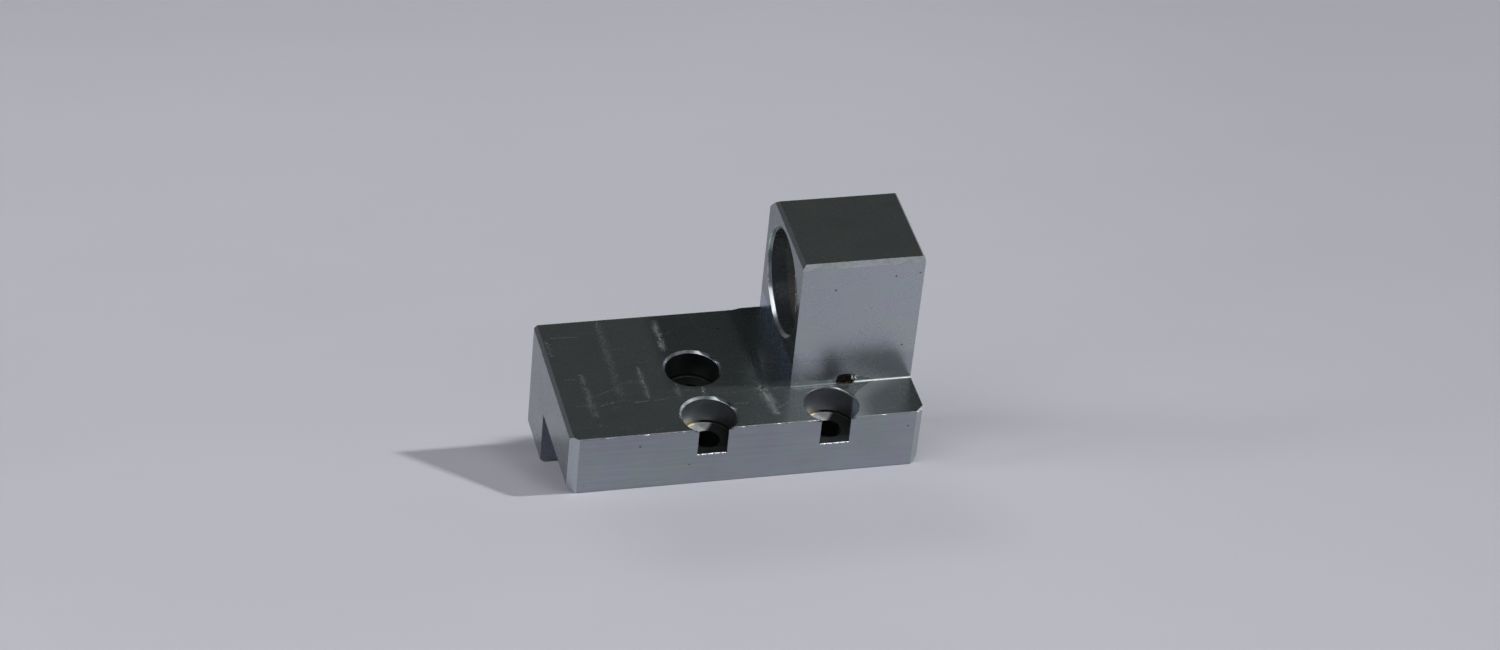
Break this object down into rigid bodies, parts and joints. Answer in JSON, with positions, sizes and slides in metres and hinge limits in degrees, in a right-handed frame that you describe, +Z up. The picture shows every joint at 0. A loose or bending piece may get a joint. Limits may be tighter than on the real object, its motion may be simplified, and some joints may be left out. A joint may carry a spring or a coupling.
{
  "type": "mounting block",
  "caption": "L-shaped machined steel block with a bored tower at one end, screwed down through sunk screw holes with its rear lip hanging behind an edge.",
  "frame": {"origin": "midway between the two front screws, on the seat, which is the underside of the base", "axes": "+X runs along the base towards the tower, +Y runs back towards the lip, +Z points up, away from what the block is screwed to"},
  "size_m": [0.0721, 0.0375, 0.0548],
  "materials": {
    "plated_steel": "bright zinc plate over milled faces, with wear at the edges"
  },
  "bodies": {
    "root": {"mounting_block": "plated_steel"}
  },
  "joints": []
}
